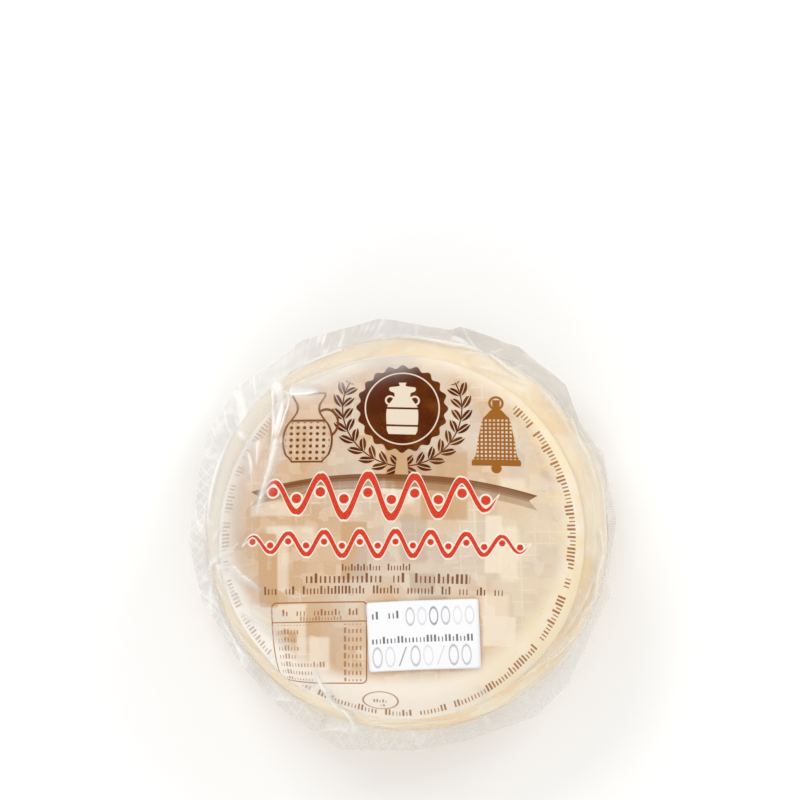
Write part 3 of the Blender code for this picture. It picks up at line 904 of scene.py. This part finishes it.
def scroll(x, y, middle, start, end, wave, tall, thick):
    """A running scroll: a wave, thick and thin as from a pen, with a dot in each hollow."""
    centre = (start + end) / 2
    spread = (x - centre) / (end - start) * 2
    rise = 1 - 0.45 * spread * spread
    phase = (x - start) * (math.tau / wave)
    sine = phase.math("SINE")
    slant = phase.math("COSINE")
    pen = thick * (1 - (spread * spread).math("POWER", 6.0))
    line = abs(y - middle - sine * rise * tall) - pen * (0.45 + 0.55 * abs(slant)) * rise
    side = sine.math("SIGN")
    across = ((x - start) / (wave / 2)).math("FRACT") - 0.5
    dot = length(across * (wave / 2), (y - middle) * side - 0.16 * tall) - thick * 0.62
    ends = abs(x - centre) - (end - start) / 2
    return line.math("MINIMUM", dot).math("MAXIMUM", ends)


def sepia_picture(paint, flat, x, y):
    """Soft upright and level blocks, small cells, thin lines and speckle, in sepia tones."""
    tone = 0.45 + 0.30 * noise(paint, 0.07, 2.0, flat)
    draw = np.random.default_rng(11)
    for _ in range(PICTURE_BLOCKS):
        centre = (draw.uniform(-34, 30), draw.uniform(-34, 26))
        half = (draw.uniform(1.2, 6.5), draw.uniform(1.5, 8.5))
        shade = draw.choice((-0.55, -0.40, 0.35, 0.60))
        tone = tone + float(shade) * box(x, y, centre, half, draw.uniform(0.5, 1.8))
    cells = {"Vector": flat, "Scale": 0.30, "Randomness": 0.8}
    shades = paint.node("TexVoronoi", {"distance": "CHEBYCHEV"}, cells, out=1)
    tone = tone + 0.26 * (paint.node("SeparateColor", {}, {0: shades}) - 0.5)
    post = abs(((x + 0.05 * y) / 3.4).math("FRACT") - 0.5).below(0.05, 0.06)
    beam = abs(((y - 0.04 * x) / 2.7).math("FRACT") - 0.5).below(0.06, 0.07)
    lines = post.math("MAXIMUM", beam)
    tone = tone - 0.20 * lines * noise(paint, 0.10, 1.0, flat).above(0.58, 0.06)
    speckle = noise(paint, 2.6, 2.0, flat)
    tone = (tone + 0.30 * speckle - 0.15).above(0.5, 1.1)
    cooler = noise(paint, 0.045, 1.0, flat).above(0.50, 0.12) * x.above(-18.0, 16.0)
    tone = tone + 0.16 * x.below(-18.0, 20.0)
    deep = mix_colour(paint, cooler, PICTURE_DARK, PICTURE_GREY)
    return mix_colour(paint, tone, PICTURE_LIGHT, deep)


def paper_and_field(paint, flat, x, y):
    """Cream paper, painted lighter at the left as painted light, damp, blotted and spotted at the
    right, and the field.
    """
    reach = length(x - FIELD_CENTRE[0], y - FIELD_CENTRE[1])
    field = reach.below(FIELD_RADIUS, 5.0) * y.above(FIELD_FRONT, 6.0)
    picture = sepia_picture(paint, flat, x, y)
    across, along = (1000 * centre for centre in LABEL_CENTRE)
    wide, tall = (1000 * half for half in LABEL_HALF)
    damp = noise(paint, 0.06, 2.0, flat).above(0.44, 0.25) * x.above(18.0, 24.0)
    rim = length((x - across) / wide, (y - along) / tall).above(0.93, 0.16)
    rim = rim * (x + 0.3 * y).above(6.0, 50.0)
    damp = damp.math("MAXIMUM", rim * noise(paint, 0.16, 3.0, flat).above(0.48, 0.30))
    # painted light: the left of the label is painted lighter
    colour = mix_colour(paint, x.below(-30.0, 12.0) * 0.75, PAPER, PAPER_PAINTED_LIGHT)
    colour = mix_colour(paint, damp, colour, PAPER_DAMP)
    blots = noise(paint, 0.30, 4.0, flat).above(0.53, 0.08) * (x + 0.3 * y).above(31.0, 12.0)
    colour = mix_colour(paint, field * (0.92 - 0.30 * damp), colour, picture)
    colour = mix_colour(paint, blots * 0.38, colour, PAPER_BLOT)
    spots = noise(paint, 0.95, 2.0, flat).above(0.69, 0.05) * x.above(22.0, 12.0)
    return mix_colour(paint, spots * 0.55, colour, PAPER_SPOT)


def seal_and_wreath(paint, flat, x, y, colour):
    """A dark scalloped seal that holds a churn, with a wreath rising on both sides of it."""
    sx, sy = x - SEAL_CENTRE[0], y - SEAL_CENTRE[1]
    away = length(sx, sy)
    around = sy.math("ARCTAN2", sx)
    edge = SEAL_RADIUS + SEAL_SCALLOP_DEPTH * (around * SEAL_SCALLOPS).math("COSINE")
    faded = noise(paint, 0.16, 3.0, flat).above(0.52, 0.24) * (sx - sy).above(-2.0, 16.0)
    ink = mix_colour(paint, faded * 0.75, BROWN_DARK, BROWN_MID)
    colour = mix_colour(paint, (away - edge).below(0.0, 0.2), colour, ink)
    ring = abs(away - (SEAL_RADIUS - 1.7)).below(0.16, 0.14)
    churn = profile(sx, (sy + CHURN_HEIGHT / 2) / CHURN_HEIGHT, CHURN, widest=4.0)
    ears = abs(length(abs(sx) - 2.9, sy - 1.9) - 1.0) - 0.22
    hoops = abs(abs(sy + 2.1) - 2.1).above(0.24, 0.12)
    pale = churn.math("MINIMUM", ears).below(0.0, 0.2) * hoops
    colour = mix_colour(paint, ring.math("MAXIMUM", pale) * 0.95, colour, PICTURE_LIGHT)
    turn = abs(sx).math("ARCTAN2", 0.0 - sy)
    along = turn * WREATH_RADIUS
    stem = abs(away - WREATH_RADIUS).below(0.16, 0.14)
    leaf_u = (along / LEAF_PITCH).math("FRACT") * LEAF_PITCH - 1.9
    leaf_v = abs(away - WREATH_RADIUS) - 1.25
    lean_u = leaf_u * 0.80 + leaf_v * 0.60
    lean_v = leaf_v * 0.80 - leaf_u * 0.60
    leaf = (abs(lean_v) - 0.80 * (1 - lean_u * lean_u / 4.2)).below(0.0, 0.16)
    vein = abs(lean_v).above(0.10, 0.10)
    sprig = stem.math("MAXIMUM", leaf * vein) * turn.above(0.10, 0.02) * turn.below(2.05, 0.02)
    return mix_colour(paint, sprig, colour, ink)


def jug(paint, x, y, colour):
    """A jug in outline with a dotted body, a plain collar under a hem, and a handle."""
    jx, jy = x - JUG_FOOT[0], y - JUG_FOOT[1]
    body = profile(jx, jy / JUG_HEIGHT, JUG, widest=8.0)
    dot_x = (jx / JUG_DOT_PITCH).math("FRACT") - 0.5
    dot_y = (jy / JUG_DOT_PITCH).math("FRACT") - 0.5
    dots = length(dot_x, dot_y).below(0.27, 0.12)
    dotted = body.below(-0.5, 0.2) * jy.below(9.6, 0.2) * dots
    handle = (abs(length((jx - 4.2) / 0.8, jy - 9.4) - 3.4) - 0.34) + body.below(0.0, 0.1)
    outline = (abs(body) - 0.26).math("MINIMUM", handle).below(0.0, 0.18)
    hem = abs(jy - 10.0).below(0.28, 0.12) * body.below(0.0, 0.1)
    lines = outline.math("MAXIMUM", dotted).math("MAXIMUM", hem)
    return mix_colour(paint, lines, colour, BROWN_MID)


def bell(paint, x, y, colour):
    """A checked bell with a loop on top and a clapper under it."""
    bx, by = x - BELL_FOOT[0], y - BELL_FOOT[1]
    body = profile(bx, by / BELL_HEIGHT, BELL, widest=8.0)
    check = abs((bx / BELL_CHECK_PITCH).math("FRACT") - 0.5).below(0.27, 0.12)
    check = check * abs((by / BELL_CHECK_PITCH).math("FRACT") - 0.5).below(0.27, 0.12)
    weave = (1 - check * by.below(11.5, 0.1) * by.above(1.5, 0.1)) * body.below(0.0, 0.18)
    loop = abs(length(bx, by - 15.2) - 1.5).below(0.3, 0.16)
    clapper = length(bx, by + 0.6).below(1.2, 0.16)
    inked = weave.math("MAXIMUM", loop).math("MAXIMUM", clapper)
    return mix_colour(paint, inked, colour, BROWN_PALE)


def ribbon(paint, x, y, colour):
    """The arched ribbon, streaked, darker along its top edge, with forked ends."""
    across = x - RIBBON_CREST[0]
    mid = y - RIBBON_CREST[1] + RIBBON_BOW * across * across
    ends = (abs(x + 3.2) - abs(mid) * 1.1).below(RIBBON_HALF_LENGTH, 0.25)
    band = abs(mid).below(RIBBON_HALF_WIDTH, 0.2) * ends
    streak = {"W": mid * 2.2 + x * 0.03, "Scale": 1.0, "Detail": 3.0}
    grain = paint.node("TexNoise", {"noise_dimensions": "1D"}, streak)
    shade = mid.above(0.1, 2.6) * 0.52 + 0.40 + 0.6 * (grain - 0.5)
    return mix_colour(paint, band * shade, colour, BROWN_MID)


def ruled_panel(paint, x, y, colour):
    """A round-cornered panel with a title over a rule and two columns of bars under it."""
    px, py = x - PANEL_CENTRE[0], y - PANEL_CENTRE[1]
    past_x = (abs(px) - PANEL_STRAIGHT[0]).math("MAXIMUM", 0.0)
    past_y = (abs(py) - PANEL_STRAIGHT[1]).math("MAXIMUM", 0.0)
    border = abs(length(past_x, past_y) - PANEL_CORNER).below(0.15, 0.14)
    rule = abs(py - 5.0).below(0.14, 0.12) * abs(px).below(10.9, 0.1)
    title = bars(px, py, *PANEL_TITLES[0]) + bars(px, py, *PANEL_TITLES[1]) * 0.7
    line = (py / PANEL_LINE_PITCH).math("FRACT") * PANEL_LINE_PITCH
    cut = chance(paint, (py / PANEL_LINE_PITCH).math("FLOOR") + 40.0)
    left = bars(px, line, *PANEL_LEFT) * (px - cut * 9.0).below(-6.5, 0.1)
    right = bars(px, line, *PANEL_RIGHT)
    rows = (left + right) * py.below(4.4, 0.1) * py.above(-9.0, 0.1)
    panel = (border + rule + title + rows * 0.8).math("MINIMUM", 1.0)
    return mix_colour(paint, panel * 0.92, colour, BROWN_PALE)


def small_oval(paint, x, y, colour):
    """A small oval near the front edge, round two short rows of bars."""
    ox, oy = x - OVAL_CENTRE[0], y - OVAL_CENTRE[1]
    outline = abs(length(ox / OVAL_HALF[0], oy / OVAL_HALF[1]) - 1).below(0.05, 0.06)
    oval = outline + bars(ox, oy, *OVAL_ROWS[0]) + bars(ox, oy, *OVAL_ROWS[1])
    return mix_colour(paint, oval * 0.8, colour, BROWN_PALE)


def ring_of_bars(paint, x, y, colour):
    """A ring of small bars near the rim, open at the top and clear of the panel."""
    ring_x, ring_y = x - RING_CENTRE[0], (y - RING_CENTRE[1]) / RING_STRETCH
    inward = 2 * RING_RADIUS - length(ring_x, ring_y)
    bearing = ring_x.math("ARCTAN2", ring_y)
    open_top = abs(bearing).above(RING_OPEN, 0.01)
    marks = bars(bearing * RING_RADIUS, inward, *RING_ROW)
    clear_of_panel = 1 - box(x, y, PANEL_CENTRE, PANEL_CLEAR_HALF)
    fresh = 0.90 - 0.35 * x.below(-24.0, 10.0)
    return mix_colour(paint, marks * open_top * clear_of_panel * fresh, colour, BROWN_PALE)


def print_finish():
    """The printed paper, each part of the print laid over the ones before it."""
    paint, shader, material = new_paint("label_print")
    flat = paint.node("Attribute", {"attribute_name": "flat"}, out=1)
    x, y, _ = split(flat)
    colour = paper_and_field(paint, flat, x, y)
    colour = seal_and_wreath(paint, flat, x, y, colour)
    colour = jug(paint, x, y, colour)
    colour = bell(paint, x, y, colour)
    colour = ribbon(paint, x, y, colour)
    for row in SCROLLS:
        mark = scroll(x, y, *row)
        colour = mix_colour(paint, mark.below(0.42, 0.2), colour, PAPER)
        inked = 1 - 0.05 * noise(paint, 2.2, 3.0, flat).above(0.5, 0.4)
        colour = mix_colour(paint, mark.below(0.0, 0.2) * inked, colour, RED)
    for row in MAIN_ROWS:
        colour = mix_colour(paint, bars(x, y, *row) * 0.9, colour, BROWN_MID)
    colour = ruled_panel(paint, x, y, colour)
    colour = small_oval(paint, x, y, colour)
    colour = ring_of_bars(paint, x, y, colour)
    feed(shader, "Base Color", colour)
    feed(shader, "Roughness", 0.7)
    feed(shader, "Specular IOR Level", 0.02)
    weave = noise(paint, 3.0, 3.0, flat)
    bump = paint.node("Bump", {}, {"Strength": 0.15, "Distance": 0.0001, "Height": weave})
    feed(shader, "Normal", bump)
    return material


def make_label():
    angle = np.linspace(0, math.tau, LABEL_STEPS, endpoint=False)[None, :]
    share = np.linspace(0.0, 1.0, LABEL_RINGS)[1:, None]
    x = LABEL_CENTRE[0] + share * LABEL_HALF[0] * np.cos(angle)
    y = LABEL_CENTRE[1] + share * LABEL_HALF[1] * np.sin(angle)
    lift = lumps(x, y) + LABEL_LOW + LABEL_FOLD_SHARE * fold_shape(x, y)[0]
    upper = on_wheel(x, y, lift + LABEL_THICKNESS)
    lower = on_wheel(x, y, lift)
    points = np.concatenate((lower, upper[::-1]))
    middle = on_wheel(*(np.array(c) for c in LABEL_CENTRE), np.array(LABEL_LOW))
    top = middle + (0, 0, LABEL_THICKNESS)
    label = sheet_object("paper_label", points, centre=middle, foot=top)
    flat = np.stack((1000 * x, 1000 * y, 0 * x), axis=-1)
    flat = np.concatenate((flat, flat[::-1])).reshape(-1, 3)
    pole = (1000 * LABEL_CENTRE[0], 1000 * LABEL_CENTRE[1], 0.0)
    keep_on_mesh(label, "flat", np.vstack((flat, pole, pole)))
    label.data.materials.append(print_finish())
    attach(label, "root")
    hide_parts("label")


make_label()


# The date sticker: a small oblong of white paper from a price gun, stuck on the film
# over the label. It follows the wheel's curve and its corners are cut round. It has two
# rows of dark bars and two of plain zeros, unevenly inked.
STICKER_HALF = (0.0130, 0.0080)
STICKER_CORNER = 0.0006
STICKER_CENTRE = (0.0040, -0.0276)
STICKER_TURN = math.radians(3.3)
STICKER_LOW = 0.0009
STICKER_THICKNESS = 0.0002
STICKER_CURL = 0.00012
STICKER_RINGS = 16
STICKER_EDGE_STEP = 0.0006
STICKER_WHITE = (0.87, 0.87, 0.88)
STICKER_BLACK = (0.03, 0.03, 0.035)
STICKER_INK = (0.20, 0.20, 0.22)

# The rows of bars, given as on the label. Each row of zeros: where it starts, how many, its
# middle line, its pitch, the half width and height of a zero, and whether it has slashes.
STICKER_BARS = ((-12.2, -4.4, 4.9, 1.8, 0.95, 11), (-12.2, 11.6, -0.9, 1.6, 0.85, 12))
STICKER_ZEROS = (
    (-4.3, 6, 4.3, 2.75, (0.95, 1.95), False),
    (-12.4, 8, -4.8, 2.95, (1.05, 2.15), True),
)


def zeros(x, y, start, count, middle, pitch, half, slashes):
    """A row of plain zeros, unevenly inked, with a slash in each third place if wanted."""
    place = (x - start) / pitch
    cell = place.math("FLOOR")
    u = (place - cell - 0.5) * pitch
    v = y - middle
    ink = 0.20 + 0.65 * chance(x, cell + 3.7).math("POWER", 1.6)
    mark = (abs(length(u / half[0], v / half[1]) - 1) * half[0]).below(0.14, 0.16)
    if slashes:
        third = (cell - (cell / 3).math("FLOOR") * 3).above(1.5, 0.1)
        slash = abs(u - v * 0.42).below(0.16, 0.16) * abs(v).below(half[1], 0.1)
        mark = mark * (1 - third) + slash * third
    inside = abs(place - count / 2).below(count / 2, 0.02)
    return mark * ink * inside


def sticker_finish():
    paint, shader, material = new_paint("sticker_print")
    flat = paint.node("Attribute", {"attribute_name": "flat"}, out=1)
    x, y, _ = split(flat)
    small = bars(x, y, *STICKER_BARS[0]) + bars(x, y, *STICKER_BARS[1])
    colour = mix_colour(paint, small * 0.85, STICKER_WHITE, STICKER_BLACK)
    large = zeros(x, y, *STICKER_ZEROS[0]) + zeros(x, y, *STICKER_ZEROS[1])
    colour = mix_colour(paint, large, colour, STICKER_INK)
    feed(shader, "Base Color", colour)
    feed(shader, "Roughness", 0.5)
    return material


def sticker_outline():
    """The rounded oblong's outline, as places round its centre at about even steps."""
    wide, tall = (half - STICKER_CORNER for half in STICKER_HALF)
    places = []
    for side_x, side_y, first in ((1, 1, 0), (-1, 1, 90), (-1, -1, 180), (1, -1, 270)):
        for degrees in range(first, first + 91, 15):
            out_x = STICKER_CORNER * math.cos(math.radians(degrees))
            out_y = STICKER_CORNER * math.sin(math.radians(degrees))
            places.append((side_x * wide + out_x, side_y * tall + out_y))
    corners = np.array(places)
    filled = []
    for start, end in zip(corners, np.roll(corners, -1, axis=0)):
        count = max(1, int(np.hypot(*(end - start)) / STICKER_EDGE_STEP))
        filled += [start + (end - start) * i / count for i in range(count)]
    return np.array(filled)


def make_sticker():
    outline = sticker_outline()
    share = np.linspace(0.0, 1.0, STICKER_RINGS)[1:, None]
    u, v = share * outline[:, 0], share * outline[:, 1]
    turned = (math.cos(STICKER_TURN), math.sin(STICKER_TURN))
    x = STICKER_CENTRE[0] + u * turned[0] - v * turned[1]
    y = STICKER_CENTRE[1] + u * turned[1] + v * turned[0]
    edge = np.maximum(np.abs(u) / STICKER_HALF[0], np.abs(v) / STICKER_HALF[1])
    lift = lumps(x, y) + STICKER_LOW + STICKER_CURL * edge ** 8
    upper, lower = on_wheel(x, y, lift + STICKER_THICKNESS), on_wheel(x, y, lift)
    middle = on_wheel(*(np.array(c) for c in STICKER_CENTRE), lumps(*STICKER_CENTRE) + STICKER_LOW)
    top = middle + (0, 0, STICKER_THICKNESS)
    points = np.concatenate((lower, upper[::-1]))
    sticker = sheet_object("paper_sticker", points, centre=middle, foot=top)
    flat = np.stack((1000 * u, 1000 * v, 0 * u), axis=-1)
    flat = np.concatenate((flat, flat[::-1])).reshape(-1, 3)
    keep_on_mesh(sticker, "flat", np.vstack((flat, (0, 0, 0), (0, 0, 0))))
    sticker.data.materials.append(sticker_finish())
    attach(sticker, "root")
    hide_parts("date_sticker")


make_sticker()
